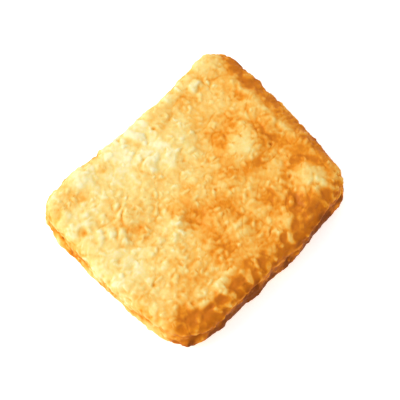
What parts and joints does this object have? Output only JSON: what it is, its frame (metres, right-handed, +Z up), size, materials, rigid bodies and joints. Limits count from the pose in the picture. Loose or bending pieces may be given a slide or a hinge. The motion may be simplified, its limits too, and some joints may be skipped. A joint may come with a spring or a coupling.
{
  "type": "rice cracker",
  "caption": "Small square Japanese rice cracker, puffed and baked between hot iron plates, with a blistered golden face and torn, browned sides. A bite-sized snack.",
  "frame": {"origin": "middle of the underside, on the surface the cracker lies on", "axes": "+X along the longer sides, +Y along the shorter sides, +Z up, out of the shown face"},
  "size_m": [0.0346, 0.028, 0.0066],
  "materials": {
    "baked_rice_crust": "golden baked crust with a light gloss of oil and soy glaze"
  },
  "bodies": {
    "root": {"rice_cracker": "baked_rice_crust"}
  },
  "joints": []
}
